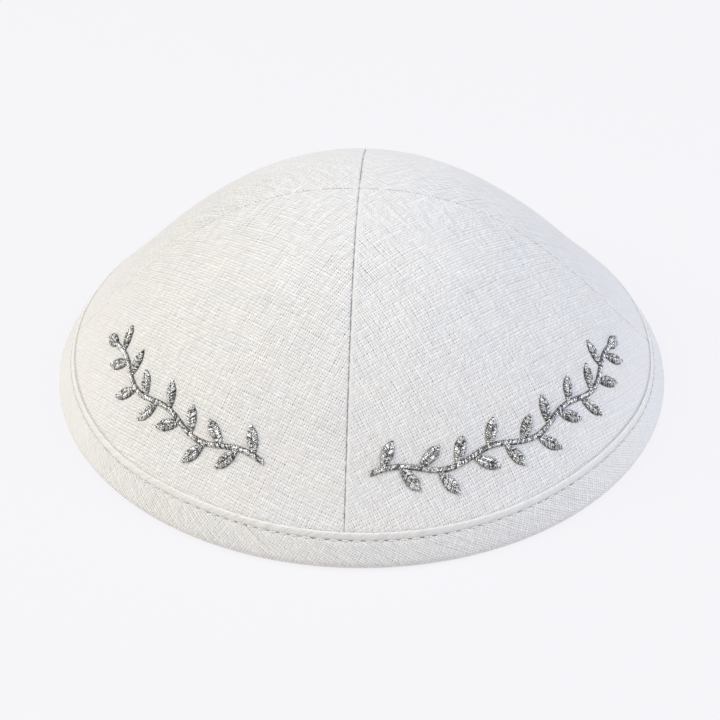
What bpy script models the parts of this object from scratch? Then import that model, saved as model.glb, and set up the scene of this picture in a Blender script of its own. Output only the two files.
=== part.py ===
"""Four-panel linen skullcap, standing on its bound rim.

Metres, +Z up. The front of the cap faces -Y and the origin is the centre of the rim's underside. A bearing
is an angle round the cap from the front, positive to the right. One outline, from the apex down to the
fold of the rim, gives every piece its place: the panels follow it and sink under the band, the band wraps
their lower edge, the piping lies on them above the band and the embroidery lies on them higher up.
"""
import math

import bmesh
import bpy
import numpy as np

# Driving sizes of the cap
FOLD_RADIUS = 0.0894        # outline's radius where the band starts to turn under
CROWN_RISE = 0.0583         # from that fold up to the apex
CROWN_LEAN = 0.0007         # the apex stands this far to the left of the rim's centre
PANEL_WALL = 0.0012         # linen with its interfacing
BAND_WALL = 0.0010          # one leg of the folded band
BAND_RISE = 0.0061          # usual length of the band's legs above the fold
REST_DEPTH = 0.00025        # how much of the round fold is pressed flat where the cap rests
PIPING_WIDTH = 0.0019
PIPING_THICKNESS = 0.0012
TUCK_LENGTH = 0.0050        # stretch above the piping over which the panels sink towards the band
CLEARANCE = 0.0003          # between pieces that touch
SEAM_CLEARANCE = 0.0004     # between neighbouring panels
SEAM_ROUND = 0.00035        # rounding of the panels' turned edges
SLOPE_STEP = 0.0002         # reach on both sides over which a slope is measured

# Driving sizes of the embroidered sprigs
SPRIG_LIFT = 0.0147         # stem's foot above the piping's usual upper edge, up the slope
SPRIG_THICKNESS = 0.0008
STEM_WIDTH = 0.0013
STEM_SWAY = 0.0013
STEM_WAVE = 0.0270
LEAF_LENGTH = 0.0080
LEAF_WIDTH = 0.0032
LEAF_PITCH = 0.0050
LEAF_ANGLE = math.radians(52)

# Outline of the finished cap, apex to fold
OUTLINE = [
    # share of FOLD_RADIUS, share of CROWN_RISE
    (0.000, 1.000),
    (0.120, 0.992),
    (0.250, 0.952),
    (0.400, 0.862),
    (0.550, 0.711),
    (0.700, 0.510),
    (0.820, 0.319),
    (0.900, 0.192),
    (0.950, 0.113),
    (0.985, 0.037),
    (1.000, 0.000),
]

# The sewn edge of the band wanders up and down round the cap
BAND_EDGE = [
    # bearing in degrees, share of BAND_RISE
    (-180, 1.00),
    (-130, 1.05),
    (-90, 1.10),
    (-62, 0.99),
    (-48, 0.93),
    (-32, 1.01),
    (-14, 0.93),
    (6, 0.86),
    (24, 0.89),
    (46, 1.02),
    (60, 0.99),
    (76, 0.86),
    (100, 0.90),
    (135, 0.98),
    (180, 1.00),
]

# The four panels, each between two seams
PANELS = [
    # name, bearing of its left seam, bearing of its right seam
    ("panel_front_left", -89, 0),
    ("panel_front_right", 0, 92),
    ("panel_back_right", 92, 180),
    ("panel_back_left", 180, 271),
]

# The two sprigs, each from its stalk beside the front seam to its tip
SPRIGS = [
    # name, bearing of its stalk, bearing of its tip, lift of its tip as a share of SPRIG_LIFT
    ("embroidery_left", -17, -75, 1.30),
    ("embroidery_right", 5, 82, 1.10),
]

# Half of a leaf's edge, from its stalk to its tip
LEAF_EDGE = [
    # share of LEAF_LENGTH, share of half LEAF_WIDTH
    (0.10, 0.30),
    (0.28, 0.85),
    (0.50, 1.00),
    (0.74, 0.70),
]

STEPS_PER_PANEL = 15
PROFILE_STEPS = 14
PIPING_SIDES = 10
MERGE_DISTANCE = 0.00002

# What follows from the sizes above
FOLD_REACH = PANEL_WALL / 2 + CLEARANCE + BAND_WALL
POCKET_REACH = PANEL_WALL / 2 + CLEARANCE
SINK = CLEARANCE + BAND_WALL
PIPING_TOP = BAND_RISE + CLEARANCE + PIPING_WIDTH
SPRIG_FOOT = PIPING_TOP + SPRIG_LIFT


def smooth_line(knots, pieces=12):
    """Catmull-Rom points through all knots but the first and last, which only lead the line in and out."""
    points = []
    for i in range(1, len(knots) - 2):
        a, b, c, d = knots[i - 1:i + 3]
        for t in np.arange(pieces) / pieces:
            points.append(0.5 * (2 * b + (c - a) * t + (2 * a - 5 * b + 4 * c - d) * t ** 2
                                 + (3 * b - a - 3 * c + d) * t ** 3))
    points.append(knots[-2])
    return np.array(points)


def make_outline():
    """The outline from the fold up, lifted to its height above the resting plane, and its distances."""
    rows = np.array(OUTLINE) * (FOLD_RADIUS, CROWN_RISE)
    knots = np.vstack([rows[1] * (-1, 1), rows, 2 * rows[-1] - rows[-2]])
    line = smooth_line(knots)[::-1]
    steps = np.linalg.norm(np.diff(line, axis=0), axis=1)
    fold_normal_z = (line[0, 0] - line[1, 0]) / steps[0]
    line[:, 1] += FOLD_REACH - REST_DEPTH + FOLD_REACH * fold_normal_z
    return line, np.concatenate([[0.0], np.cumsum(steps)])


def make_band_edge():
    """The band's edge all round, as bearings and lengths above the fold."""
    rows = np.array(BAND_EDGE, dtype=float)
    knots = np.vstack([rows[-2] - (360, 0), rows, rows[1] + (360, 0)])
    return smooth_line(knots)


LINE, DISTANCES = make_outline()
SLOPE_LENGTH = DISTANCES[-1]
EDGE = make_band_edge()


def band_rise(bearing):
    """Length of the band's legs above the fold at a bearing."""
    turned = (bearing + 180) % 360 - 180
    return BAND_RISE * np.interp(turned, EDGE[:, 0], EDGE[:, 1])


def outline_at(up):
    """Outline point and outward normal at a distance up the slope from the fold."""
    here, low, high = [np.array([np.interp(at, DISTANCES, LINE[:, k]) for k in (0, 1)])
                       for at in (up, up - SLOPE_STEP, up + SLOPE_STEP)]
    along = (high - low) / np.linalg.norm(high - low)
    return here, np.array([along[1], -along[0]])


def outset(up, height):
    """Point that lies a height above the outline, or below it if negative."""
    point, normal = outline_at(up)
    return point + height * normal


def panel_outside(up, bearing):
    """Outer face of the panels: on the outline, then sinking so that the band lies flush over it."""
    share = (up - band_rise(bearing)) / (CLEARANCE + PIPING_WIDTH + TUCK_LENGTH)
    share = min(max(share, 0.0), 1.0)
    return outset(up, -SINK * (1 - share * share * (3 - 2 * share)))


def panel_frame(up, bearing):
    """Point on the panels' outer face, the direction up the slope and the outward normal."""
    along = panel_outside(up + SLOPE_STEP, bearing) - panel_outside(up - SLOPE_STEP, bearing)
    along /= np.linalg.norm(along)
    return panel_outside(up, bearing), along, np.array([along[1], -along[0]])


def place(point, bearing):
    """Turn a radius and height to a bearing, with the crown's lean to the left."""
    radius, height = point
    angle = math.radians(bearing)
    lean = CROWN_LEAN * height / CROWN_RISE
    return np.array([radius * math.sin(angle) - lean, -radius * math.cos(angle), height])


def material(name, colour, roughness, metallic=0.0):
    made = bpy.data.materials.new(name)
    made.use_nodes = True
    shader = made.node_tree.nodes["Principled BSDF"]
    shader.inputs["Base Color"].default_value = (*colour, 1)
    shader.inputs["Roughness"].default_value = roughness
    shader.inputs["Metallic"].default_value = metallic
    return made


def add_object(name, data, finish, collection):
    made = bpy.data.objects.new(name, data)
    made.data.materials.append(finish)
    collection.objects.link(made)
    return made


def weld(mesh, outwards=True):
    """Join points that fall together, such as a row at the apex or a filled outline's loose caps."""
    shape = bmesh.new()
    shape.from_mesh(mesh)
    bmesh.ops.remove_doubles(shape, verts=shape.verts, dist=MERGE_DISTANCE)
    if outwards:
        bmesh.ops.recalc_face_normals(shape, faces=shape.faces)
    shape.to_mesh(mesh)
    shape.free()


def loft(name, sections, ring):
    """Skin between sections of equal length that change with the bearing. A ring is closed both ways."""
    count = len(sections[0])
    verts = [tuple(point) for section in sections for point in section]
    spans = len(sections) if ring else len(sections) - 1
    sides = count if ring else count - 1
    faces = []
    for i in range(spans):
        here, there = i * count, (i + 1) % len(sections) * count
        for j in range(sides):
            after = (j + 1) % count
            faces.append((here + j, here + after, there + after, there + j))
    mesh = bpy.data.meshes.new(name)
    mesh.from_pydata(verts, [], faces)
    mesh.shade_smooth()
    weld(mesh, outwards=ring)
    return mesh


def seam_offset(left, right):
    """How far a panel is moved so that it stands half a seam's clearance back from both its seams."""
    sides = [(math.cos(math.radians(left)), math.sin(math.radians(left))),
             (-math.cos(math.radians(right)), -math.sin(math.radians(right)))]
    moved = np.linalg.solve(np.array(sides), np.full(2, SEAM_CLEARANCE / 2))
    return np.array([moved[0], moved[1], 0.0])


def make_panels(finish, collection):
    """Four gores, drawn in at the foot by what their move away from the seams adds."""
    ups = SLOPE_LENGTH * (1 - np.linspace(0, 1, PROFILE_STEPS + 1) ** 0.85)
    draw_in = np.array([1 - SEAM_CLEARANCE / 2 / FOLD_RADIUS, 1])
    for name, left, right in PANELS:
        moved = seam_offset(left, right)
        sections = []
        for bearing in np.linspace(left, right, STEPS_PER_PANEL + 1):
            sections.append([place(panel_outside(up, bearing) * draw_in, bearing) + moved for up in ups])
        panel = add_object(name, loft(name, sections, ring=False), finish, collection)
        cloth = panel.modifiers.new("cloth", "SOLIDIFY")
        cloth.thickness = PANEL_WALL
        cloth.offset = -1
        edge = panel.modifiers.new("turned edge", "BEVEL")
        edge.width = min(SEAM_ROUND, PANEL_WALL / 3)
        edge.segments = 2
        edge.limit_method = "ANGLE"
        edge.angle_limit = math.radians(50)


def turns():
    """Bearings all round the cap, the same ones as the panels' columns."""
    bearings = []
    for _, left, right in PANELS:
        bearings += list(np.linspace(left, right, STEPS_PER_PANEL + 1)[:-1])
    return bearings


def fold_arc(centre, radius, start, end, count):
    """Points round the fold's centre between two angles."""
    angles = np.linspace(start, end, count)
    return [centre + radius * np.array([math.cos(a), math.sin(a)]) for a in angles]


def band_section(bearing):
    """The binding's outer leg, its fold with the flat resting face, its inner leg and the pocket between."""
    point, normal = outline_at(0.0)
    centre = point - FOLD_REACH * normal
    outward = math.atan2(normal[1], normal[0])
    flat = math.asin(centre[1] / FOLD_REACH)
    ups = np.linspace(band_rise(bearing), 0, 4)
    pocket_ups = ups[::2]
    section = [outset(up, 0) for up in ups[:-1]]
    section += fold_arc(centre, FOLD_REACH, outward, -flat, 4)
    section += fold_arc(centre, FOLD_REACH, -math.pi + flat, outward - math.pi, 3)
    section += [outset(up, -2 * FOLD_REACH) for up in ups[::-1][1:]]
    section += [outset(up, BAND_WALL - 2 * FOLD_REACH) for up in pocket_ups]
    section += fold_arc(centre, POCKET_REACH, outward - math.pi, outward, 5)
    section += [outset(up, -BAND_WALL) for up in pocket_ups[::-1]]
    return [place(p, bearing) for p in section]


def piping_section(bearing):
    """A flattened roll that lies on the panels just above the band."""
    middle = band_rise(bearing) + CLEARANCE + PIPING_WIDTH / 2
    point, along, normal = panel_frame(middle, bearing)
    centre = point + normal * (CLEARANCE + PIPING_THICKNESS / 2)
    section = []
    for angle in 2 * math.pi * (np.arange(PIPING_SIDES) + 0.5) / PIPING_SIDES:
        section.append(centre + along * math.cos(angle) * PIPING_WIDTH / 2
                       + normal * math.sin(angle) * PIPING_THICKNESS / 2)
    return [place(p, bearing) for p in section]


def make_rings(band_finish, piping_finish, collection):
    rings = [("rim_band", band_section, band_finish), ("piping", piping_section, piping_finish)]
    for name, section, finish in rings:
        mesh = loft(name, [section(bearing) for bearing in turns()], ring=True)
        add_object(name, mesh, finish, collection)


def stem_height(along):
    return STEM_SWAY * math.sin(2 * math.pi * along / STEM_WAVE)


def stem_slope(along):
    return math.atan(STEM_SWAY * 2 * math.pi / STEM_WAVE * math.cos(2 * math.pi * along / STEM_WAVE))


def leaf_edge(root, heading, first_side):
    """A leaf's edge from the stem out to its tip and back, starting on its first side."""
    ahead = np.array([math.cos(heading), math.sin(heading)])
    aside = np.array([-ahead[1], ahead[0]]) * first_side
    halves = []
    for side in (1, -1):
        out = aside * side * LEAF_WIDTH / 2
        halves.append([root + ahead * LEAF_LENGTH * x + out * y for x, y in LEAF_EDGE])
    return halves[0] + [root + ahead * LEAF_LENGTH] + halves[1][::-1]


def sprig_outline(length):
    """Flat outline of a sprig whose stem runs along X, with leaves on alternate sides and one at the tip."""
    stem_length = length - LEAF_LENGTH
    half_stem = np.array([0.0, STEM_WIDTH / 2])
    foot = np.array([0.0, stem_height(0)])
    upper, lower = [foot + half_stem], [foot - half_stem]
    for i in range(int(stem_length / LEAF_PITCH)):
        x = LEAF_PITCH * (i + 0.6)
        root = np.array([x, stem_height(x)])
        if i % 2 == 0:
            upper += leaf_edge(root, stem_slope(x) + LEAF_ANGLE, 1)
            lower.append(root - half_stem)
        else:
            lower += leaf_edge(root, stem_slope(x) - LEAF_ANGLE, -1)
            upper.append(root + half_stem)
    tip = np.array([stem_length, stem_height(stem_length)])
    return upper + leaf_edge(tip, stem_slope(stem_length), 1) + lower[::-1]


def filled_outline(name, outline, thickness):
    """A flat closed plate, drawn as a filled 2D curve."""
    curve = bpy.data.curves.new(name, "CURVE")
    curve.dimensions = "2D"
    curve.fill_mode = "BOTH"
    curve.extrude = thickness / 2
    spline = curve.splines.new("POLY")
    spline.points.add(len(outline) - 1)
    for point, corner in zip(spline.points, outline):
        point.co = (*corner, 0, 1)
    spline.use_cyclic_u = True
    drawn = bpy.data.objects.new(name, curve)
    bpy.context.scene.collection.objects.link(drawn)
    graph = bpy.context.evaluated_depsgraph_get()
    mesh = bpy.data.meshes.new_from_object(drawn.evaluated_get(graph))
    bpy.data.objects.remove(drawn)
    return mesh


def make_sprigs(finish, collection):
    """Raised thread work, drawn flat and then laid on the panels: X runs round the cap, Y up the slope."""
    for name, start, end, tip_lift in SPRIGS:
        middle_radius = panel_outside(SPRIG_FOOT, start)[0]
        length = middle_radius * math.radians(abs(end - start))
        side = math.copysign(1, end - start)
        mesh = filled_outline(name + "_plate", sprig_outline(length), SPRIG_THICKNESS)
        for vertex in mesh.vertices:
            x, y, z = vertex.co
            bearing = start + side * math.degrees(x / middle_radius)
            centre = SPRIG_FOOT + SPRIG_LIFT * (tip_lift - 1) * x / length
            point, _, normal = panel_frame(centre + y, bearing)
            vertex.co = place(point + normal * (CLEARANCE + SPRIG_THICKNESS / 2 + z), bearing)
        weld(mesh)
        mesh.name = name
        add_object(name, mesh, finish, collection)


def main():
    for old in list(bpy.data.objects):
        bpy.data.objects.remove(old)
    cap = bpy.data.collections.new("kippah_skullcap")
    bpy.context.scene.collection.children.link(cap)
    panel_linen = material("panel_linen", (0.83, 0.82, 0.80), 0.9)
    band_linen = material("band_linen", (0.80, 0.80, 0.79), 0.9)
    piping_linen = material("piping_linen", (0.84, 0.84, 0.82), 0.85)
    silver_thread = material("silver_thread", (0.52, 0.52, 0.53), 0.4, 0.7)
    make_panels(panel_linen, cap)
    make_rings(band_linen, piping_linen, cap)
    make_sprigs(silver_thread, cap)


main()
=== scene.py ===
"""The looks of a linen skullcap with a bound rim, a piped edge, topstitching and silver leaf embroidery.

Metres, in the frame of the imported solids: +Z up, front towards -Y, origin at the centre of the rim's
underside. A bearing is an angle round the cap from the front, positive to the right, and a length up the
slope is measured from the fold of the rim. Cloth patterns are laid out in millimetres on each UV map.
"""
import math

import bpy
import numpy as np
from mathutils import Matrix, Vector


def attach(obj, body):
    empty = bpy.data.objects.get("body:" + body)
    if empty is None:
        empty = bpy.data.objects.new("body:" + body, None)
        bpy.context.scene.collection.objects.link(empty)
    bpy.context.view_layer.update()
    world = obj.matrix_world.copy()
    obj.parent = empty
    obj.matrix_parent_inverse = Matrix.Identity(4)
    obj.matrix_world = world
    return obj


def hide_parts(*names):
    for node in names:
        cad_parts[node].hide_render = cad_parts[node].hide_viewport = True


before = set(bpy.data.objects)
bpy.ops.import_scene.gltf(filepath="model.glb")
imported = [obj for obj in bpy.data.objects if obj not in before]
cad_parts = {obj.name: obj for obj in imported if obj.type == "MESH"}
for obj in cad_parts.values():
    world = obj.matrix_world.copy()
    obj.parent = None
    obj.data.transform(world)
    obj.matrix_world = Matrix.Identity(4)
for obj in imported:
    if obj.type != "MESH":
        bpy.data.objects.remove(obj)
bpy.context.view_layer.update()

# The cap's own sizes, the same as in the solids
FOLD_RADIUS = 0.0894
CROWN_RISE = 0.0583
CROWN_LEAN = 0.0007
PANEL_WALL = 0.0012
BAND_WALL = 0.0010
BAND_RISE = 0.0061
REST_DEPTH = 0.00025
PIPING_WIDTH = 0.0019
PIPING_THICKNESS = 0.0012
TUCK_LENGTH = 0.0004
CLEARANCE = 0.0003
SEAM_CLEARANCE = 0.00004

# The needlework
SEAM_ROLL = 0.0009          # how far from a seam the cloth starts to turn down into it
SEAM_DIP = 0.00050          # how deep its edge goes
SEAM_SWELL = 0.00016        # how far the panel that laps over a seam stands up beside it
STITCH_COUNT = 174
STITCH_SHARE = 0.64         # thread's share of a stitch, the rest is the needle hole
STITCH_RADIUS = 0.00024
STITCH_LINE = 0.00018       # how far past the band's edge the topstitch runs
HOLE_LINE = 0.24            # the same for the needle holes' centres, in mm
HOLES_DARKEST_AT = STITCH_COUNT / 2 + 5   # the stitch round which the needle holes' painted shade is darkest
SPRIG_LIFT = 0.0147
STEM_WIDTH = 0.0013
STEM_SLANT = math.radians(58)
STEM_SWAY = 0.0013
STEM_WAVE = 0.0270
LEAF_LENGTH = 0.0080
LEAF_WIDTH = 0.0032
LEAF_PITCH = 0.0050
LEAF_ANGLE = math.radians(52)
LEAF_PADDING = 0.00078      # how far the fullest stitches of a leaf stand up
STEM_PADDING = 0.00060
THREAD_FOOT = 0.00006       # height of the stitches' ends above the cloth
THREAD_RADIUS = 0.00021
THREAD_PITCH = 0.00042

# The piping's face, from the sewn groove over its upper edge
PIPING_SLOPE = [
    # share of PIPING_WIDTH past the groove, share of PIPING_THICKNESS above the outline
    (-0.06, -0.45),
    (0.00, -0.26),
    (0.07, -0.14),
    (0.16, -0.04),
    (0.30, 0.06),
    (0.45, 0.14),
    (0.60, 0.21),
    (0.72, 0.26),
    (0.82, 0.285),
    (0.90, 0.285),
    (0.98, 0.26),
    (1.04, 0.20),
    (1.08, 0.11),
    (1.10, 0.00),
    (1.08, -0.12),
]

# The binding's face near its sewn edge, where it rolls down under the piping
BAND_ROLL = [
    # mm past the band's edge, mm above the outline, how many mm deeper at a needle hole
    (0.44, -0.42, 0.00),
    (0.32, -0.30, 0.05),
    (0.20, -0.20, 0.09),
    (0.08, -0.12, 0.11),
    (-0.08, -0.06, 0.11),
    (-0.28, -0.01, 0.08),
    (-0.55, 0.02, 0.05),
    (-0.95, 0.03, 0.02),
]

# Camera and light, fitted to the photograph's 720 x 720 frame
IMAGE_SIZE = 720
FOCAL_PIXELS = 1805.0
SENSOR = 0.036
CAMERA_BEARING = 3.04
CAMERA_ELEVATION = 36.9
CAMERA_DISTANCE = 0.54
CAMERA_TARGET = (-0.0005, 0.0, 0.00105)
LIGHT_SIZE = 0.9
LIGHT_DISTANCE = 1.5
WORLD_STRENGTH = 0.3
FLOOR_SIZE = 6
FLOOR_GREY = (0.12, 0.12, 0.12)
FLOOR_GLOW = (0.915, 0.905, 0.935)
FLOOR_GLOW_STRENGTH = 0.872
LIGHTS = [
    # name, bearing and elevation in degrees, watts, colour
    ("overhead", 0, 90, 4.8, (0.93, 0.96, 1.0)),
    ("window_left", -90, 39, 8.5, (1.0, 0.985, 0.915)),
    ("window_right", 90, 43, 10.9, (0.72, 0.80, 1.0)),
    ("key_front", -50, 50, 4.4, (1.0, 0.94, 0.81)),
]

OUTLINE = [
    # share of FOLD_RADIUS, share of CROWN_RISE
    (0.000, 1.000),
    (0.120, 0.992),
    (0.250, 0.952),
    (0.400, 0.862),
    (0.550, 0.711),
    (0.700, 0.510),
    (0.820, 0.319),
    (0.900, 0.192),
    (0.950, 0.113),
    (0.985, 0.037),
    (1.000, 0.000),
]

BAND_EDGE = [
    # bearing in degrees, share of BAND_RISE
    (-180, 1.00),
    (-130, 1.05),
    (-90, 1.10),
    (-62, 0.99),
    (-48, 0.93),
    (-32, 1.01),
    (-14, 0.93),
    (6, 0.86),
    (24, 0.89),
    (46, 1.02),
    (60, 0.99),
    (76, 0.86),
    (100, 0.90),
    (135, 0.98),
    (180, 1.00),
]

PANELS = [
    # node, bearing of its left seam and how far it laps over there, the same for its right seam, bearing of
    # its straight grain
    ("panel_front_left", -89, 0.4, 0, 0.0, -35),
    ("panel_front_right", 0, 1.0, 92, 0.4, 42),
    ("panel_back_right", 92, 0.0, 180, 0.0, 136),
    ("panel_back_left", 180, 0.4, 271, 0.0, 225),
]

SPRIGS = [
    # node, bearing of its stalk, bearing of its tip, lift of its tip as a share of SPRIG_LIFT
    ("embroidery_left", -17, -75, 1.30),
    ("embroidery_right", 5, 82, 1.10),
]

FOLD_REACH = PANEL_WALL / 2 + CLEARANCE + BAND_WALL
POCKET_REACH = PANEL_WALL / 2 + CLEARANCE
SINK = CLEARANCE + BAND_WALL
PIPING_TOP = BAND_RISE + CLEARANCE + PIPING_WIDTH
SPRIG_FOOT = PIPING_TOP + SPRIG_LIFT
MM = 1000.0


# The cap's shape

def smooth_line(knots, pieces=12):
    """Catmull-Rom points through all knots but the first and last, which only lead the line in and out."""
    points = []
    for i in range(1, len(knots) - 2):
        a, b, c, d = knots[i - 1:i + 3]
        for t in np.arange(pieces) / pieces:
            points.append(0.5 * (2 * b + (c - a) * t + (2 * a - 5 * b + 4 * c - d) * t ** 2
                                 + (3 * b - a - 3 * c + d) * t ** 3))
    points.append(knots[-2])
    return np.array(points)


def make_outline():
    rows = np.array(OUTLINE) * (FOLD_RADIUS, CROWN_RISE)
    knots = np.vstack([rows[1] * (-1, 1), rows, 2 * rows[-1] - rows[-2]])
    line = smooth_line(knots)[::-1]
    steps = np.linalg.norm(np.diff(line, axis=0), axis=1)
    fold_normal_z = (line[0, 0] - line[1, 0]) / steps[0]
    line[:, 1] += FOLD_REACH - REST_DEPTH + FOLD_REACH * fold_normal_z
    return line, np.concatenate([[0.0], np.cumsum(steps)])


def make_band_edge():
    rows = np.array(BAND_EDGE, dtype=float)
    knots = np.vstack([rows[-2] - (360, 0), rows, rows[1] + (360, 0)])
    return smooth_line(knots)


LINE, DISTANCES = make_outline()
SLOPE_LENGTH = DISTANCES[-1]
EDGE = make_band_edge()


def band_rise(bearing):
    turned = (np.asarray(bearing) + 180) % 360 - 180
    return BAND_RISE * np.interp(turned, EDGE[:, 0], EDGE[:, 1])


def outline_at(up):
    """Outline points and outward normals at lengths up the slope from the fold, as arrays of pairs."""
    step = 0.0004

    def at(lengths):
        return np.stack([np.interp(lengths, DISTANCES, LINE[:, k]) for k in (0, 1)], -1)
    along = at(up + step) - at(up - step)
    along /= np.linalg.norm(along, axis=-1, keepdims=True)
    return at(up), np.stack([along[..., 1], -along[..., 0]], -1)


def sink(up, bearing):
    """How far the panels lie below the outline, so that the band lies flush over them."""
    share = np.clip((up - band_rise(bearing)) / (CLEARANCE + PIPING_WIDTH + TUCK_LENGTH), 0, 1)
    return SINK * (1 - share * share * (3 - 2 * share))


def place(points, bearing):
    """Turn radii and heights to bearings, with the crown's lean to the left."""
    angle = np.radians(bearing)
    lean = CROWN_LEAN * points[..., 1] / CROWN_RISE
    return np.stack([points[..., 0] * np.sin(angle) - lean,
                     -points[..., 0] * np.cos(angle), points[..., 1]], -1)


def on_outline(up, bearing, height):
    """Points a height above the outline."""
    point, normal = outline_at(np.asarray(up, dtype=float))
    return place(point + normal * np.asarray(height)[..., None], bearing)


def on_panel(up, bearing, height):
    """Points a height above the panels' outer face."""
    return on_outline(up, bearing, height - sink(up, bearing))


# Helpers for meshes

def deselect():
    bpy.ops.object.select_all(action="DESELECT")


def make_active(piece):
    deselect()
    piece.select_set(True)
    bpy.context.view_layer.objects.active = piece


def cloth_grid(name, points, pattern, **masks):
    """A grid primitive pulled onto the cap. Points, pattern (in mm) and masks are arrays of rows by columns."""
    rows, columns = points.shape[:2]
    deselect()
    bpy.ops.mesh.primitive_grid_add(x_subdivisions=columns - 1, y_subdivisions=rows - 1, size=1)
    piece = bpy.context.object
    piece.name = name
    mesh = piece.data
    mesh.name = name
    mesh.vertices.foreach_set("co", points.reshape(-1))
    corners = np.zeros(len(mesh.loops), dtype=np.int32)
    mesh.loops.foreach_get("vertex_index", corners)
    spread = pattern.reshape(-1, 2)[corners]
    mesh.uv_layers[0].data.foreach_set("uv", spread.astype(np.float32).reshape(-1))
    for key, values in masks.items():
        mask = mesh.attributes.new(key, "FLOAT", "POINT")
        mask.data.foreach_set("value", np.asarray(values, dtype=np.float32).reshape(-1))
    mesh.update()
    return piece


def merge_doubles(piece, distance=0.00001):
    make_active(piece)
    bpy.ops.object.mode_set(mode="EDIT")
    bpy.ops.mesh.select_all(action="SELECT")
    bpy.ops.mesh.remove_doubles(threshold=distance)
    bpy.ops.object.mode_set(mode="OBJECT")


def face_outwards(piece):
    make_active(piece)
    bpy.ops.object.mode_set(mode="EDIT")
    bpy.ops.mesh.select_all(action="SELECT")
    bpy.ops.mesh.normals_make_consistent(inside=False)
    bpy.ops.object.mode_set(mode="OBJECT")


def dress(piece, finish, slot, *nodes):
    """Smooth shading, finish, and the piece's place in the frame."""
    piece.data.shade_smooth()
    piece.data.materials.clear()
    piece.data.materials.append(finish)
    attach(piece, "root")
    if nodes:
        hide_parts(*nodes)


# Materials

def shader_material(name):
    made = bpy.data.materials.new(name)
    made.use_nodes = True
    return made, made.node_tree.nodes, made.node_tree.links


def maths(tree, operation, a, b=None, c=None):
    """A Math node's output. Each input is a socket or a number."""
    node = tree.nodes.new("ShaderNodeMath")
    node.operation = operation
    for socket, value in zip(node.inputs, (a, b, c)):
        if value is None:
            continue
        if isinstance(value, (int, float)):
            socket.default_value = value
        else:
            tree.links.new(value, socket)
    return node.outputs[0]


def combine(tree, x, y, z=0.0):
    node = tree.nodes.new("ShaderNodeCombineXYZ")
    for socket, value in zip(node.inputs, (x, y, z)):
        if isinstance(value, (int, float)):
            socket.default_value = value
        else:
            tree.links.new(value, socket)
    return node.outputs[0]


def noise(tree, vector, scale, detail=2.0):
    node = tree.nodes.new("ShaderNodeTexNoise")
    node.inputs["Scale"].default_value = scale
    node.inputs["Detail"].default_value = detail
    tree.links.new(vector, node.inputs["Vector"])
    return node.outputs["Fac"]


def remap(tree, value, low, high, to_low, to_high, smooth=False):
    node = tree.nodes.new("ShaderNodeMapRange")
    node.interpolation_type = "SMOOTHSTEP" if smooth else "LINEAR"
    tree.links.new(value, node.inputs["Value"])
    for key, number in (("From Min", low), ("From Max", high), ("To Min", to_low), ("To Max", to_high)):
        node.inputs[key].default_value = number
    return node.outputs["Result"]


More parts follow.
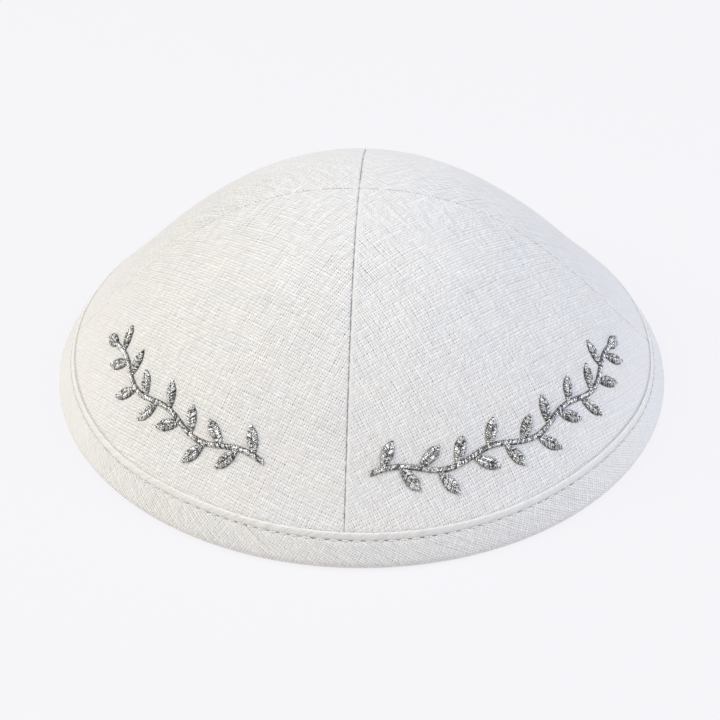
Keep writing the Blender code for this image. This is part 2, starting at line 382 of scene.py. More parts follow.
def make_weave_group():
    """Plain weave on a map in millimetres: thread height, tone of the threads, a mask of the gaps and furrows between
    them for painted shade, and a fleck of its own for each crossing."""
    tree = bpy.data.node_groups.new("plain_weave", "ShaderNodeTree")
    for name, kind in (("Map", "NodeSocketVector"), ("Warp Pitch", "NodeSocketFloat"),
                       ("Weft Pitch", "NodeSocketFloat"), ("Turn", "NodeSocketFloat")):
        tree.interface.new_socket(name, in_out="INPUT", socket_type=kind)
    for name in ("Height", "Tone", "Gap", "Fleck"):
        tree.interface.new_socket(name, in_out="OUTPUT", socket_type="NodeSocketFloat")
    inside = tree.nodes.new("NodeGroupInput")
    outside = tree.nodes.new("NodeGroupOutput")

    turned = tree.nodes.new("ShaderNodeVectorRotate")
    turned.rotation_type = "Z_AXIS"
    tree.links.new(inside.outputs["Map"], turned.inputs["Vector"])
    tree.links.new(inside.outputs["Turn"], turned.inputs["Angle"])
    split = tree.nodes.new("ShaderNodeSeparateXYZ")
    tree.links.new(turned.outputs[0], split.inputs[0])
    elsewhere = combine(tree, maths(tree, "ADD", split.outputs[1], 40.0), split.outputs[0])

    def wandering(coordinate, run, field, pitch, offset, spread):
        """A coordinate in threads. The threads bow a little, and some are thicker than others."""
        bowed = maths(tree, "MULTIPLY_ADD", noise(tree, field, 0.05, 1.0), 1.6, coordinate)
        threads = maths(tree, "DIVIDE", bowed, pitch)
        uneven = noise(tree, combine(tree, maths(tree, "MULTIPLY_ADD", threads, 0.55, offset),
                                     maths(tree, "MULTIPLY", run, 0.03)), 1.0, 2.0)
        return maths(tree, "MULTIPLY_ADD", uneven, spread, threads)
    x = wandering(split.outputs[0], split.outputs[1], turned.outputs[0], inside.outputs["Warp Pitch"], 17.0, 1.3)
    y = wandering(split.outputs[1], split.outputs[0], elsewhere, inside.outputs["Weft Pitch"], 53.0, 1.4)
    column, row = maths(tree, "FLOOR", x), maths(tree, "FLOOR", y)

    def streak(index, run, offset, rate=0.07):
        """Tone that changes from thread to thread and slowly along each thread."""
        seed = maths(tree, "MULTIPLY_ADD", index, 7.31, offset)
        return noise(tree, combine(tree, seed, maths(tree, "MULTIPLY", run, rate)), 1.0, 2.0)
    warp_tone, weft_tone = streak(column, y, 3.0), streak(row, x, 91.0)

    def off_centre(value):
        return maths(tree, "ABSOLUTE", maths(tree, "MULTIPLY_ADD", maths(tree, "FRACT", value), 2.0, -1.0))
    off_x, off_y = off_centre(x), off_centre(y)

    def section(off, tone):
        """Rounded section of a thread, fuller where the yarn is thick."""
        return maths(tree, "SUBTRACT", 1.0, maths(tree, "POWER", off, remap(tree, tone, 0.3, 0.7, 1.6, 3.0)))
    warp, weft = section(off_x, warp_tone), section(off_y, weft_tone)

    def wave(run, index):
        return maths(tree, "SINE", maths(tree, "MULTIPLY", maths(tree, "ADD", run, index), math.pi))
    over_warp = maths(tree, "MULTIPLY_ADD", wave(y, column), 0.34, 0.66)
    over_weft = maths(tree, "MULTIPLY_ADD", wave(x, row), -0.34, 0.66)
    warp_height = maths(tree, "MULTIPLY", warp, over_warp)
    weft_height = maths(tree, "MULTIPLY", weft, over_weft)
    height = maths(tree, "SMOOTH_MAX", warp_height, weft_height, 0.12)

    def by_place(across, down):
        """A value of its own for each crossing of two threads."""
        own = tree.nodes.new("ShaderNodeTexWhiteNoise")
        own.noise_dimensions = "2D"
        tree.links.new(combine(tree, across, down), own.inputs["Vector"])
        return own.outputs["Value"]

    def nearest_gap(value):
        return maths(tree, "FLOOR", maths(tree, "ADD", value, 0.5))
    corner = by_place(nearest_gap(x), nearest_gap(y))
    open_x = remap(tree, off_x, 0.38, 0.95, 0.0, 1.0, smooth=True)
    open_y = remap(tree, off_y, 0.38, 0.95, 0.0, 1.0, smooth=True)
    gap = maths(tree, "MULTIPLY", maths(tree, "MULTIPLY", open_x, open_y),
                maths(tree, "MULTIPLY_ADD", corner, 1.3, 0.25))

    def furrow(value, off, run, offset, depth):
        """Shade between two neighbouring threads, deep where they lie apart."""
        apart = streak(nearest_gap(value), run, offset, 0.13)
        line = remap(tree, off, 0.45, 1.0, 0.0, 1.0, smooth=True)
        return maths(tree, "MULTIPLY", line, remap(tree, apart, 0.38, 0.64, 0.0, depth))
    towards_apex = remap(tree, split.outputs[1], 20.0, 80.0, 1.6, 1.0)
    gap = maths(tree, "ADD", gap, maths(tree, "MULTIPLY", furrow(x, off_x, y, 29.0, 0.34), towards_apex))
    gap = maths(tree, "ADD", gap, furrow(y, off_y, x, 67.0, 0.04))
    on_top = maths(tree, "GREATER_THAN", warp_height, weft_height)
    tone = maths(tree, "MULTIPLY_ADD", on_top, maths(tree, "SUBTRACT", warp_tone, weft_tone), weft_tone)
    tree.links.new(height, outside.inputs["Height"])
    tree.links.new(tone, outside.inputs["Tone"])
    tree.links.new(gap, outside.inputs["Gap"])
    tree.links.new(by_place(column, row), outside.inputs["Fleck"])
    return tree


WEAVE = make_weave_group()


def tinted(tree, base, factor):
    """A colour times a socket's value."""
    mix = tree.nodes.new("ShaderNodeMix")
    mix.data_type = "RGBA"
    mix.blend_type = "MULTIPLY"
    mix.inputs["Factor"].default_value = 1.0
    mix.inputs["A"].default_value = (*base, 1)
    tree.links.new(factor, mix.inputs["B"])
    return mix.outputs["Result"]


def needle_holes(tree):
    """Shade of the needle holes and of the sewn groove, from the second UV map of the rim's pieces."""
    uv = tree.nodes.new("ShaderNodeUVMap")
    uv.uv_map = "stitches"
    split = tree.nodes.new("ShaderNodeSeparateXYZ")
    tree.links.new(uv.outputs[0], split.inputs[0])
    stitch = maths(tree, "ADD", split.outputs[0], 0.5)
    aside = maths(tree, "MULTIPLY_ADD", maths(tree, "FRACT", stitch), 3.1, -1.55)
    number = tree.nodes.new("ShaderNodeTexWhiteNoise")
    number.noise_dimensions = "1D"
    tree.links.new(maths(tree, "FLOOR", stitch), number.inputs["W"])
    reach = maths(tree, "MULTIPLY_ADD", number.outputs["Value"], 0.22, 0.50)
    above = maths(tree, "SUBTRACT", split.outputs[1], HOLE_LINE)
    far = maths(tree, "SQRT", maths(tree, "ADD", maths(tree, "POWER", maths(tree, "DIVIDE", aside, reach), 2.0),
                                    maths(tree, "POWER", maths(tree, "DIVIDE", above, 0.19), 2.0)))
    hole = remap(tree, far, 0.75, 1.15, 1.0, 0.0, smooth=True)
    groove = remap(tree, maths(tree, "ABSOLUTE", above), 0.10, 0.42, 1.0, 0.0, smooth=True)
    # Painted shade: the needle holes are painted darkest round the front and about half as dark from the sides round
    # the back
    away = maths(tree, "ABSOLUTE", maths(tree, "SUBTRACT", stitch, HOLES_DARKEST_AT))
    darker_at_front = remap(tree, away, 6, 26, 1.0, 0.45)
    depth = maths(tree, "MULTIPLY", maths(tree, "MULTIPLY_ADD", number.outputs["Value"], -0.35, -0.35), darker_at_front)
    return maths(tree, "MULTIPLY", maths(tree, "MULTIPLY_ADD", hole, depth, 1.0),
                 maths(tree, "MULTIPLY_ADD", groove, -0.02, 1.0))


def linen(name, base, turn, pitches, gap_shade, tone_reach, fleck, bump, sewn=False, creases=0.0):
    """White linen: weave from the UV map, streaks of thicker yarn and a little mottling. The weave is weaker where
    the cloth folds into a seam, and it is painted weaker towards the back and the sides as painted sheen. Painted
    shade darkens the gaps between threads, the seams, the panels along the piping and, on sewn pieces, the needle
    holes."""
    made, nodes, links = shader_material(name)
    tree = made.node_tree
    shader = nodes["Principled BSDF"]
    uv = nodes.new("ShaderNodeUVMap")
    uv.uv_map = "UVMap"
    weave = nodes.new("ShaderNodeGroup")
    weave.node_tree = WEAVE
    links.new(uv.outputs[0], weave.inputs["Map"])
    weave.inputs["Warp Pitch"].default_value = pitches[0]
    weave.inputs["Weft Pitch"].default_value = pitches[1]
    weave.inputs["Turn"].default_value = turn
    fold = nodes.new("ShaderNodeAttribute")
    fold.attribute_name = "fold"
    place_at = nodes.new("ShaderNodeTexCoord")
    at = nodes.new("ShaderNodeSeparateXYZ")
    links.new(place_at.outputs["Object"], at.inputs[0])
    # Painted sheen: the weave's contrast fades towards the back and the sides
    sheen_washout = maths(tree, "MULTIPLY", remap(tree, at.outputs[1], 0.002, 0.04, 1.0, 0.45, smooth=True),
                   remap(tree, maths(tree, "ABSOLUTE", at.outputs[0]), 0.055, 0.086, 1.0, 0.40, smooth=True))
    flatness = maths(tree, "MULTIPLY", remap(tree, fold.outputs["Fac"], 0.0, 1.0, 1.0, 0.25), sheen_washout)
    upper = remap(tree, at.outputs[2], 0.012, 0.042, 1.0, 1.12)
    gap = maths(tree, "MULTIPLY", weave.outputs["Gap"], maths(tree, "MULTIPLY", flatness, upper))
    bright = maths(tree, "MULTIPLY_ADD", maths(tree, "SUBTRACT", weave.outputs["Tone"], 0.5),
                   maths(tree, "MULTIPLY", flatness, 5 * tone_reach), 1.0)
    bright = maths(tree, "MULTIPLY", bright, remap(tree, noise(tree, uv.outputs[0], 0.05, 4.0), 0.3, 0.7, 0.99, 1.01))
    # Painted shade in the gaps between threads
    bright = maths(tree, "MULTIPLY", bright, maths(tree, "MULTIPLY_ADD", gap, -gap_shade, 1.0))
    flecks = maths(tree, "MULTIPLY", maths(tree, "SUBTRACT", weave.outputs["Fleck"], 0.5), flatness)
    bright = maths(tree, "MULTIPLY", bright, maths(tree, "MULTIPLY_ADD", flecks, 2 * fleck, 1.0))
    # Painted shade of the weave's relief: thread crowns lighter, their low parts darker
    bright = maths(tree, "MULTIPLY", bright, remap(tree, weave.outputs["Height"], 0.2, 0.9, 0.96, 1.02))
    if sewn:
        bright = maths(tree, "MULTIPLY", bright, needle_holes(tree))
    else:
        # Painted shade in the seams, made uneven along them by noise
        seam = nodes.new("ShaderNodeAttribute")
        seam.attribute_name = "seam"
        broken = remap(tree, noise(tree, place_at.outputs["Object"], 700.0, 1.0), 0.40, 0.58, 0.15, 1.15)
        bright = maths(tree, "MULTIPLY", bright,
                       maths(tree, "MULTIPLY_ADD", maths(tree, "MULTIPLY", seam.outputs["Fac"], broken), -0.26, 1.0))
        # Painted shadow on the panels along the piping's upper edge, from the panels' mask
        tuck = nodes.new("ShaderNodeAttribute")
        tuck.attribute_name = "tuck"
        bright = maths(tree, "MULTIPLY", bright, maths(tree, "MULTIPLY_ADD", tuck.outputs["Fac"], -0.36, 1.0))
    relief = nodes.new("ShaderNodeBump")
    relief.inputs["Strength"].default_value = bump
    relief.inputs["Distance"].default_value = 0.00022
    links.new(maths(tree, "MULTIPLY", weave.outputs["Height"], flatness), relief.inputs["Height"])
    if creases:
        slanted = nodes.new("ShaderNodeVectorRotate")
        slanted.rotation_type = "Z_AXIS"
        slanted.inputs["Angle"].default_value = math.radians(50)
        links.new(uv.outputs[0], slanted.inputs["Vector"])
        drawn_out = nodes.new("ShaderNodeVectorMath")
        drawn_out.operation = "MULTIPLY"
        drawn_out.inputs[1].default_value = (0.75, 0.15, 1)
        links.new(slanted.outputs[0], drawn_out.inputs[0])
        crease = noise(tree, drawn_out.outputs[0], 1.0, 3.0)
        # Painted shade on the creases, lighter and darker along with their bump
        bright = maths(tree, "MULTIPLY", bright, remap(tree, crease, 0.3, 0.7, 0.965, 1.035))
        creased = nodes.new("ShaderNodeBump")
        creased.inputs["Strength"].default_value = 1.0
        creased.inputs["Distance"].default_value = creases
        links.new(crease, creased.inputs["Height"])
        links.new(creased.outputs[0], relief.inputs["Normal"])
    patches = nodes.new("ShaderNodeMix")
    patches.data_type = "RGBA"
    patches.inputs["A"].default_value = (0.991, 0.999, 1.012, 1)
    patches.inputs["B"].default_value = (1.009, 1.001, 0.988, 1)
    links.new(remap(tree, noise(tree, uv.outputs[0], 0.09, 2.0), 0.3, 0.7, 0.0, 1.0), patches.inputs["Factor"])
    uneven = nodes.new("ShaderNodeMix")
    uneven.data_type = "RGBA"
    uneven.blend_type = "MULTIPLY"
    uneven.inputs["Factor"].default_value = 1.0
    links.new(tinted(tree, base, bright), uneven.inputs["A"])
    links.new(patches.outputs["Result"], uneven.inputs["B"])
    links.new(uneven.outputs["Result"], shader.inputs["Base Color"])
    links.new(relief.outputs[0], shader.inputs["Normal"])
    shader.inputs["Roughness"].default_value = 0.88
    shader.inputs["Specular IOR Level"].default_value = 0.25
    shader.inputs["Sheen Weight"].default_value = 0.12
    shader.inputs["Sheen Roughness"].default_value = 0.6
    return made


def stitch_thread(name, base, metallic, roughness, ply_pitch, tones, sides_shade, speckle):
    """Twisted thread on tubes, with a tone from each tube, painted shade on its sides and along its twist, and specks
    painted lighter and darker as painted glints.
    """
    made, nodes, links = shader_material(name)
    tree = made.node_tree
    shader = nodes["Principled BSDF"]
    uv = nodes.new("ShaderNodeUVMap")
    uv.uv_map = "UVMap"
    split = nodes.new("ShaderNodeSeparateXYZ")
    links.new(uv.outputs[0], split.inputs[0])
    ply = maths(tree, "ADD", maths(tree, "DIVIDE", split.outputs[0], ply_pitch), split.outputs[1])
    twist = maths(tree, "SINE", maths(tree, "MULTIPLY", ply, 2 * math.pi))
    own = nodes.new("ShaderNodeAttribute")
    own.attribute_name = "tone"
    shade = remap(tree, own.outputs["Fac"], 0, 1, tones[0], tones[1])
    # Painted shade: the tube's sides darker than its top
    off_top = maths(tree, "ABSOLUTE", maths(tree, "SUBTRACT", split.outputs[1], 0.25))
    shade = maths(tree, "MULTIPLY", shade, remap(tree, off_top, 0.06, 0.25, 1.0, sides_shade, smooth=True))
    # Painted glints: fine specks of lighter and darker colour
    place_at = nodes.new("ShaderNodeTexCoord")
    specks = noise(tree, place_at.outputs["Object"], 2700.0, 1.0)
    shade = maths(tree, "MULTIPLY", shade, remap(tree, specks, 0.38, 0.62, 1 - speckle, 1 + speckle))
    # Painted shade along the twist
    shade = maths(tree, "MULTIPLY", shade, remap(tree, twist, -1, 1, 0.88, 1.06))
    links.new(tinted(tree, base, shade), shader.inputs["Base Color"])
    relief = nodes.new("ShaderNodeBump")
    relief.inputs["Strength"].default_value = 0.7
    relief.inputs["Distance"].default_value = 0.00006
    links.new(twist, relief.inputs["Height"])
    links.new(relief.outputs[0], shader.inputs["Normal"])
    shader.inputs["Metallic"].default_value = metallic
    shader.inputs["Roughness"].default_value = roughness
    return made


# The four panels

def slope_radius(length):
    """The cap's radius and how fast it grows, at lengths down the slope from the apex, past the rim too."""
    step = 0.001
    over = np.maximum(length - SLOPE_LENGTH, 0)

    def inside(at):
        return np.interp(SLOPE_LENGTH - at, DISTANCES, LINE[:, 0])
    growth = (inside(np.minimum(length + step, SLOPE_LENGTH)) - inside(np.minimum(length, SLOPE_LENGTH) - step))
    growth /= np.minimum(length + step, SLOPE_LENGTH) - (np.minimum(length, SLOPE_LENGTH) - step)
    return inside(np.minimum(length, SLOPE_LENGTH)) + over * growth, growth


def run_cross_threads(half_angle):
    """Cross threads of a gore as geodesics that start squarely from its centre line, at many lengths down it.
    Gives for each thread the length down the slope and the angle off the centre line, at lengths along it."""
    starts = np.linspace(0.0004, SLOPE_LENGTH + 0.0005, 160)
    down, turn, along = starts.copy(), np.zeros_like(starts), np.zeros_like(starts)
    start_radius = slope_radius(starts)[0]
    heading = np.zeros_like(starts)
    rows = [(down, turn, along)]
    while turn.min() < half_angle and len(rows) < 600:
        step = 0.03 * down
        radius, growth = slope_radius(down)
        middle_down = down + heading * step / 2
        middle_heading = heading + growth * start_radius ** 2 / radius ** 3 * step / 2
        radius, growth = slope_radius(middle_down)
        down = down + middle_heading * step
        heading = heading + growth * start_radius ** 2 / radius ** 3 * step
        turn = turn + start_radius / radius ** 2 * step
        along = along + step
        rows.append((down, turn, along))
    return starts, np.array(rows)


def cloth_map(length, turn):
    """Millimetres across and down the straight grain at lengths down the slope and angles off the centre line."""
    starts, rows = run_cross_threads(np.abs(turn).max() + 0.01)
    across, lengthways = np.zeros_like(length), np.zeros_like(length)
    for column in range(turn.shape[1]):
        angle = turn[0, column]
        meets = [np.interp(abs(angle), rows[:, 1, k], rows[:, 0, k]) for k in range(len(starts))]
        travels = [np.interp(abs(angle), rows[:, 1, k], rows[:, 2, k]) for k in range(len(starts))]
        lengthways[:, column] = np.interp(length[:, column], meets, starts)
        across[:, column] = np.interp(length[:, column], meets, travels) * np.sign(angle)
    return np.stack([across, lengthways], -1) * MM


NEAR_SEAM = np.array([0, 0.1, 0.22, 0.36, 0.52, 0.7, 0.9, 1.15, 1.5, 2.1, 3.2]) / MM   # the mesh's columns
NEAR_APEX = np.array([0, 0.4, 0.9, 1.5, 2.2, 3.0, 4.0]) / MM                           # and its rows


def from_edges(reach, fine, coarse):
    """Shares from 0 to 1, fine at both ends and coarse between, for a stretch of the given reach."""
    inner = np.arange(fine[-1] + coarse, reach - fine[-1] - coarse / 2, coarse)
    places = np.concatenate([fine, inner, reach - np.array(fine)[::-1]])
    return places / reach


def seam_height(distance, lap):
    """Height of the cloth at a distance from a seam: it dives into the seam, after a swell if it laps over."""
    share = np.clip(distance / SEAM_ROLL, 0, 1)
    swell = SEAM_SWELL * lap * np.sin(math.pi * np.clip(distance / (1.5 * SEAM_ROLL), 0, 1) ** 0.7)
    return swell - SEAM_DIP * (1 - np.sqrt(1 - (1 - share) ** 2))


def make_panel(node, left, left_lap, right, right_lap, grain, finish):
    """One gore: its outer and inner faces as one closed sleeve, which narrows to a point at the apex."""
    shares = from_edges(math.radians(right - left) * FOLD_RADIUS, NEAR_SEAM, 0.0026)
    down = np.concatenate([NEAR_APEX, np.linspace(0.0055, SLOPE_LENGTH - 0.012, 66),
                           np.linspace(SLOPE_LENGTH - 0.0115, SLOPE_LENGTH - 0.005, 16),
                           np.linspace(SLOPE_LENGTH - 0.0045, SLOPE_LENGTH, 5)])
    share, length = np.meshgrid(shares, down[::-1])
    middle = (left + right) / 2
    bearing = left + (right - left) * share
    up = SLOPE_LENGTH - length
    radius = outline_at(up)[0][..., 0]
    reach = radius * math.radians(right - left)
    fade = np.clip(radius / 0.006, 0.25, 1)
    height = seam_height(share * reach, left_lap) + seam_height((1 - share) * reach, right_lap)
    outer, inner = on_panel(up, bearing, height * fade), on_panel(up, bearing, -PANEL_WALL)
    outer[0] = inner[0] = on_panel(up[0], bearing[0], -PANEL_WALL / 2)
    outer[-1] = inner[-1] = outer[-1, :1]
    back = SEAM_CLEARANCE / math.sqrt(2)
    shift = (back * math.sin(math.radians(middle)), -back * math.cos(math.radians(middle)), 0)
    pattern = cloth_map(length, np.radians(bearing - grain))
    fold = np.clip(2.0 - share * reach / 0.0006, 0, 1) * left_lap
    fold += np.clip(2.0 - (1 - share) * reach / 0.0006, 0, 1) * right_lap
    # Mask for painted shade in the seams between the panels
    seam = np.clip(1.4 - np.minimum(share, 1 - share) * reach / 0.0003, 0, 1)

    # Mask for a painted shadow on the panels along the piping's upper edge, weak at the front and full from the sides
    # round the back
    past = up - band_rise(bearing) - CLEARANCE - PIPING_WIDTH * 1.1
    shadow_at_sides = 0.15 + 0.85 * np.clip((np.abs(bearing) - 35) / 35, 0, 1)
    tuck = np.clip(1.5 - past / 0.0006, 0, 1) * shadow_at_sides

    def sleeve(outside, inside):
        return np.concatenate([outside, inside[:, ::-1], outside[:, :1]], axis=1)
    piece = cloth_grid("linen_" + node, sleeve(outer, inner) + shift, sleeve(pattern, pattern),
                       fold=sleeve(fold, fold), seam=sleeve(seam, seam), tuck=sleeve(tuck, tuck))
    merge_doubles(piece)
    face_outwards(piece)
    dress(piece, finish, "panel_linen", node)
    return piece


# The bound rim, its piping and the topstitch

def uneven_holes():
    """Bearings of the needle holes, with stitches a little longer or shorter than each other."""
    lengths = np.random.default_rng(3).uniform(0.80, 1.20, STITCH_COUNT)
    return -180 + 360 * np.concatenate([[0.0], np.cumsum(lengths)]) / lengths.sum()


HOLES = uneven_holes()
RIM_COLUMNS = 5 * STITCH_COUNT
TURNS = np.linspace(-180, 180, RIM_COLUMNS + 1)
STITCHES = np.interp(TURNS, HOLES, np.arange(STITCH_COUNT + 1))
PINCH = 0.5 + 0.5 * np.cos(2 * math.pi * STITCHES)   # 1 at the needle holes


def ring_piece(name, points, past_edge, finish, slot, node):
    """A closed ring from a grid whose first and last columns and rows meet. Its second UV map counts stitches
    round the rim and millimetres up past the band's edge."""
    steps = np.linalg.norm(np.diff(points[:, RIM_COLUMNS // 2], axis=0), axis=1)
    path = np.concatenate([[0.0], np.cumsum(steps)]) * MM
    around = TURNS / 360 * 2 * math.pi * FOLD_RADIUS * MM
    piece = cloth_grid(name, points, np.stack(np.broadcast_arrays(around[None, :], path[:, None]), -1))
    mesh = piece.data
    corners = np.zeros(len(mesh.loops), dtype=np.int32)
    mesh.loops.foreach_get("vertex_index", corners)
    seam_map = np.stack(np.broadcast_arrays(STITCHES[None, :], past_edge * MM), -1).reshape(-1, 2)[corners]
    mesh.uv_layers.new(name="stitches").data.foreach_set("uv", seam_map.astype(np.float32).reshape(-1))
    mesh.uv_layers.active_index = 0
    merge_doubles(piece)
    face_outwards(piece)
    dress(piece, finish, slot, node)
    return piece


def make_band(finish):
    """The binding: its outer leg dives under the piping, turns round the fold and comes back up inside."""
    point, normal = outline_at(np.array(0.0))
    centre = point - FOLD_REACH * normal
    outward = math.atan2(normal[1], normal[0])
    flat = math.asin(centre[1] / FOLD_REACH)
    rise = band_rise(TURNS)
    rows, past_edge = [], []

    def add_slope(past, height):
        """A row at a length past the band's edge (or short of it if negative)."""
        rows.append(on_outline(rise + past, TURNS, height + np.zeros_like(TURNS)))
        past_edge.append(past + np.zeros_like(TURNS))

    def add_share(share, height):
        rows.append(on_outline(rise * share, TURNS, height + np.zeros_like(TURNS)))
        past_edge.append(rise * (share - 1))

    def add_arc(radius, start, end, count):
        for angle in np.linspace(start, end, count):
            spot = centre + radius * np.array([math.cos(angle), math.sin(angle)])
            rows.append(place(np.broadcast_to(spot, (len(TURNS), 2)), TURNS))
            past_edge.append(-rise)
    add_slope(BAND_ROLL[0][0] / MM, -0.00080)
    for past, height, pinched in BAND_ROLL:
        add_slope(past / MM, (height - pinched * PINCH) / MM)
    for share in np.linspace(0.78, 0.06, 9):
        add_share(share, 0.00004 * math.sin(math.pi * share) ** 0.5)
    add_arc(FOLD_REACH, outward, -flat, 8)
    add_arc(FOLD_REACH, -math.pi + flat, outward - math.pi, 6)
    for share in (0.1, 0.3, 0.5, 0.7, 0.88, 0.97):
        add_share(share, -2 * FOLD_REACH)
    add_share(1.0, -2 * FOLD_REACH + 0.0002)
    add_share(1.0, BAND_WALL - 2 * FOLD_REACH - 0.0001)
    add_share(0.5, BAND_WALL - 2 * FOLD_REACH)
    add_arc(POCKET_REACH, outward - math.pi, outward, 5)
    add_share(0.5, -BAND_WALL)
    add_share(1.0, -BAND_WALL)
    rows.append(rows[0])
    past_edge.append(past_edge[0])
    return ring_piece("bias_band", np.array(rows), np.array(past_edge), finish, "band_linen", "rim_band")


def make_piping(finish):
    """The rolled edge: it slopes up out of the sewn groove and turns sharply down to the panels at its top."""
    wander = 1 + 0.05 * np.sin(math.radians(7) * TURNS) * np.sin(math.radians(31) * TURNS + 1)
    rows, past_edge = [], []

    def add_row(share, lift, under=0.0):
        """A row at a share of the piping's width, lifted above the outline or, under 1, above the panels."""
        past = CLEARANCE + PIPING_WIDTH * share
        pinched = 0.00010 * PINCH * max(0.0, 1 - abs(share) / 0.4)
        height = PIPING_THICKNESS * lift * (wander if lift > 0 else 1) - pinched
        height = height - sink(past + band_rise(TURNS), TURNS) * under
        rows.append(on_outline(band_rise(TURNS) + past, TURNS, height))
        past_edge.append(past + np.zeros_like(TURNS))
    for share, lift in PIPING_SLOPE:
        add_row(share, lift)
    for share in (1.03, 0.8, 0.5, 0.2, -0.02):
        add_row(share, -0.10, 1.0)
    rows.append(rows[0])
    past_edge.append(past_edge[0])
    return ring_piece("rolled_piping", np.array(rows), np.array(past_edge), finish, "piping_linen", "piping")


def thread_tubes(name, paths, radii, sides, tones):
    """Tubes along paths with equal numbers of stops, joined in one mesh, with closed ends. The UV map holds
    millimetres along and turns around each tube, where a quarter turn faces away from the cap."""
    paths = np.array(paths)
    count, stops, _ = paths.shape
    tangents = np.gradient(paths, axis=1)
    tangents /= np.linalg.norm(tangents, axis=2, keepdims=True)
    away = paths.mean(axis=1, keepdims=True) - np.array([0.0, 0.0, -0.05])
    aside = np.cross(tangents, np.broadcast_to(away, paths.shape))
    aside /= np.linalg.norm(aside, axis=2, keepdims=True)
    lift = np.cross(aside, tangents)
    angles = 2 * math.pi * np.arange(sides) / sides
    ring = (np.cos(angles)[:, None] * aside[:, :, None] + np.sin(angles)[:, None] * lift[:, :, None])
    verts = (paths[:, :, None] + ring * np.broadcast_to(radii, (count, stops))[:, :, None, None]).reshape(-1, 3)
    steps = np.linalg.norm(np.diff(paths, axis=1), axis=2)
    length = np.concatenate([np.zeros((count, 1)), np.cumsum(steps, axis=1)], axis=1) * MM
    faces, uvs = [], []
    for k in range(count):
        first = k * stops * sides
        for i in range(stops - 1):
            here, there = first + i * sides, first + (i + 1) * sides
            for j in range(sides):
                after = (j + 1) % sides
                faces.append((here + j, here + after, there + after, there + j))
                uvs += [(length[k, i], j / sides), (length[k, i], (j + 1) / sides),
                        (length[k, i + 1], (j + 1) / sides), (length[k, i + 1], j / sides)]
        faces.append(tuple(first + j for j in range(sides))[::-1])
        faces.append(tuple(first + (stops - 1) * sides + j for j in range(sides)))
        uvs += [(0.0, 0.0)] * sides + [(length[k, -1], 0.0)] * sides
    mesh = bpy.data.meshes.new(name)
    mesh.from_pydata(verts, [], faces)
    layer = mesh.uv_layers.new(name="UVMap")
    layer.data.foreach_set("uv", np.array(uvs, dtype=np.float32).reshape(-1))
    tone = mesh.attributes.new("tone", "FLOAT", "POINT")
    values = np.broadcast_to(tones, (count, stops)).astype(np.float32)
    tone.data.foreach_set("value", np.repeat(values.reshape(-1), sides))
    piece = bpy.data.objects.new(name, mesh)
    bpy.context.scene.collection.objects.link(piece)
    face_outwards(piece)
    return piece


def make_topstitch(finish):
    """White stitches in the groove under the piping, each one diving into the cloth at both ends."""
    paths = []
    along = np.linspace(-1, 1, 11)
    for start, end in zip(HOLES[:-1], HOLES[1:]):
        turns = (start + end) / 2 + along * (end - start) / 2 * STITCH_SHARE
        height = -0.00068 + 0.00056 * (1 - np.abs(along) ** 4)
        paths.append(on_outline(band_rise(turns) + STITCH_LINE, turns, height))
    tones = np.random.default_rng(5).uniform(0, 1, (STITCH_COUNT, 1))
    piece = thread_tubes("topstitch", paths, STITCH_RADIUS * (1 - 0.35 * np.abs(along) ** 6), 8, tones)
    dress(piece, finish, "piping_linen")
    return piece


# The embroidered sprigs

def stem_height(along):
    return STEM_SWAY * np.sin(2 * math.pi * along / STEM_WAVE)


def stem_slope(along):
    return math.atan(STEM_SWAY * 2 * math.pi / STEM_WAVE * math.cos(2 * math.pi * along / STEM_WAVE))


STOPS = np.linspace(0, 1, 8)
# Painted shade at both ends of each satin stitch, where it dives into the cloth
SHADED_ENDS = 0.10 + 0.90 * np.clip(np.minimum(STOPS / 0.14, (1 - STOPS) / 0.14), 0, 1)


def leaf_threads(root, heading, chance):
    """Satin stitches of one leaf: both halves run from the midrib forward to the leaf's edge."""
    ahead = np.array([math.cos(heading), math.sin(heading)])
    aside = np.array([-ahead[1], ahead[0]])
    paths = []
    count = int(LEAF_LENGTH / THREAD_PITCH)
    for side in (1, -1):
        for i in range(count):
            t = (i + 0.5 + 0.25 * chance.uniform(-1, 1)) / count
            half = LEAF_WIDTH / 2 * math.sin(math.pi * min(t * 1.06, 1.0) ** 0.85) ** 0.75
            half = max(half, STEM_WIDTH * 0.28) * (1 + 0.06 * chance.uniform(-1, 1))
            start = root + ahead * LEAF_LENGTH * t * 0.97
            end = start + ahead * 0.0011 * math.sin(math.pi * t) + aside * side * half
            flat = start + (end - start) * STOPS[:, None]
            fullness = 0.40 + 0.60 * half / (LEAF_WIDTH / 2)
            pad = THREAD_FOOT + LEAF_PADDING * np.sin(math.pi * (0.12 + 0.86 * STOPS)) ** 0.8 * fullness
            paths.append(np.column_stack([flat, pad]))
    return paths


def stem_threads(length, chance):
    """Satin stitches across the stem, slanted forward."""
    paths = []
    for i in range(int(length / THREAD_PITCH)):
        x = THREAD_PITCH * (i + 0.5) + 0.00006 * chance.uniform(-1, 1)
        heading = stem_slope(x) + STEM_SLANT
        half = STEM_WIDTH / 2 * (1 + 0.08 * chance.uniform(-1, 1)) / math.sin(STEM_SLANT)
        across = np.array([math.cos(heading), math.sin(heading)])
        flat = np.array([x, stem_height(x)]) + (2 * STOPS[:, None] - 1) * half * across
        paths.append(np.column_stack([flat, THREAD_FOOT + STEM_PADDING * np.sin(math.pi * STOPS) ** 0.7]))
    return paths


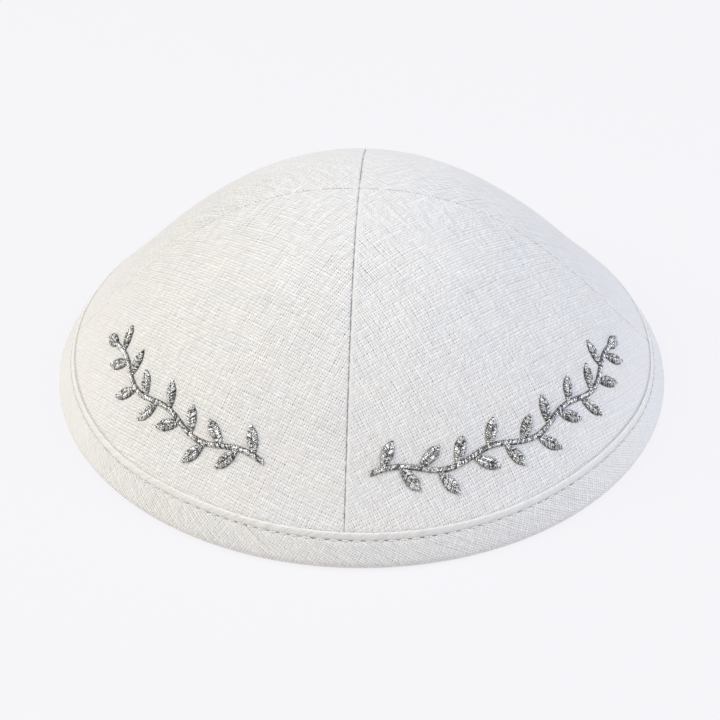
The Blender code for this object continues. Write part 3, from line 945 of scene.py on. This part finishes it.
def make_sprig(node, start, end, tip_lift, finish):
    side = math.copysign(1, end - start)
    chance = np.random.default_rng(11 if side > 0 else 12)
    foot, normal = outline_at(np.array(SPRIG_FOOT))
    radius = foot[0] - normal[0] * sink(SPRIG_FOOT, start)
    length = radius * math.radians(abs(end - start))
    stem_length = length - LEAF_LENGTH
    paths = stem_threads(stem_length + 0.001, chance)
    for i in range(int(stem_length / LEAF_PITCH)):
        x = LEAF_PITCH * (i + 0.6)
        turn = 1 if i % 2 == 0 else -1
        root = np.array([x, stem_height(x) + turn * STEM_WIDTH * 0.3])
        paths += leaf_threads(root, stem_slope(x) + turn * LEAF_ANGLE, chance)
    tip = np.array([stem_length, stem_height(stem_length)])
    paths += leaf_threads(tip, stem_slope(stem_length), chance)
    flat = np.array(paths)
    centre = SPRIG_FOOT + SPRIG_LIFT * (tip_lift - 1) * flat[..., 0] / length
    bearing = start + side * np.degrees(flat[..., 0] / radius)
    points = on_panel(centre + flat[..., 1], bearing, flat[..., 2])
    radii = THREAD_RADIUS * (0.80 + 0.20 * np.sin(math.pi * STOPS))
    tones = chance.uniform(0.12, 1.0, (len(points), 1)) * SHADED_ENDS
    piece = thread_tubes(node.replace("embroidery", "satin_sprig"), points, radii, 5, tones)
    dress(piece, finish, "silver_thread", node)
    return piece


# Floor, light and camera

def direction(bearing, elevation):
    """Unit vector from the cap towards a bearing and elevation in degrees."""
    turn, tilt = math.radians(bearing), math.radians(elevation)
    return Vector((math.sin(turn) * math.cos(tilt), -math.cos(turn) * math.cos(tilt), math.sin(tilt)))


def make_stage():
    deselect()
    bpy.ops.mesh.primitive_plane_add(size=FLOOR_SIZE, location=(0, 0, -0.0001))
    floor = bpy.context.object
    floor.name = "pale_floor"
    made, nodes, links = shader_material("pale_floor")
    shader = nodes["Principled BSDF"]
    shader.inputs["Base Color"].default_value = (*FLOOR_GREY, 1)
    shader.inputs["Roughness"].default_value = 1.0
    shader.inputs["Specular IOR Level"].default_value = 0.0
    shader.inputs["Emission Color"].default_value = (*FLOOR_GLOW, 1)
    shader.inputs["Emission Strength"].default_value = FLOOR_GLOW_STRENGTH
    floor.data.materials.append(made)


def make_light():
    world = bpy.data.worlds.new("soft_studio")
    world.use_nodes = True
    world.node_tree.nodes["Background"].inputs["Color"].default_value = (1.0, 1.0, 1.0, 1)
    world.node_tree.nodes["Background"].inputs["Strength"].default_value = WORLD_STRENGTH
    bpy.context.scene.world = world
    for name, bearing, elevation, power, colour in LIGHTS:
        data = bpy.data.lights.new(name, "AREA")
        data.size = LIGHT_SIZE
        data.energy = power
        data.color = colour
        lamp = bpy.data.objects.new(name, data)
        out = direction(bearing, elevation)
        lamp.location = out * LIGHT_DISTANCE
        lamp.rotation_euler = (-out).to_track_quat("-Z", "Y").to_euler()
        bpy.context.scene.collection.objects.link(lamp)
    bpy.context.scene.view_settings.view_transform = "Standard"


def make_camera():
    data = bpy.data.cameras.new("photo_view")
    data.sensor_width = SENSOR * MM
    data.lens = FOCAL_PIXELS / IMAGE_SIZE * SENSOR * MM
    data.clip_start = 0.01
    camera = bpy.data.objects.new("photo_view", data)
    back = direction(CAMERA_BEARING, CAMERA_ELEVATION)
    camera.location = Vector(CAMERA_TARGET) + back * CAMERA_DISTANCE
    camera.rotation_euler = (-back).to_track_quat("-Z", "Y").to_euler()
    bpy.context.scene.collection.objects.link(camera)
    bpy.context.scene.camera = camera


make_camera()
make_light()
make_stage()

PANEL_CLOTH = linen("panel_linen", (0.860, 0.838, 0.815), turn=0.0, pitches=(0.64, 0.85), gap_shade=0.45,
                    tone_reach=0.022, fleck=0.085, bump=0.25)
BAND_CLOTH = linen("band_linen", (0.867, 0.848, 0.826), turn=math.radians(60), pitches=(0.60, 0.73), gap_shade=0.38,
                   tone_reach=0.03, fleck=0.07, bump=0.5, sewn=True)
PIPING_CLOTH = linen("piping_linen", (0.880, 0.860, 0.828), turn=math.radians(45), pitches=(0.60, 0.60),
                     gap_shade=0.08, tone_reach=0.01, fleck=0.02, bump=0.1, sewn=True, creases=0.0006)
WHITE_THREAD = stitch_thread("white_topstitch", (0.86, 0.86, 0.85), metallic=0.0, roughness=0.6, ply_pitch=0.9,
                             tones=(0.94, 1.0), sides_shade=0.85, speckle=0.03)
SILVER_THREAD = stitch_thread("silver_thread", (0.87, 0.86, 0.83), metallic=0.75, roughness=0.30, ply_pitch=0.7,
                              tones=(0.0, 1.75), sides_shade=0.20, speckle=0.85)

for panel in PANELS:
    make_panel(*panel, PANEL_CLOTH)
make_band(BAND_CLOTH)
make_piping(PIPING_CLOTH)
make_topstitch(WHITE_THREAD)
for sprig in SPRIGS:
    make_sprig(*sprig, SILVER_THREAD)
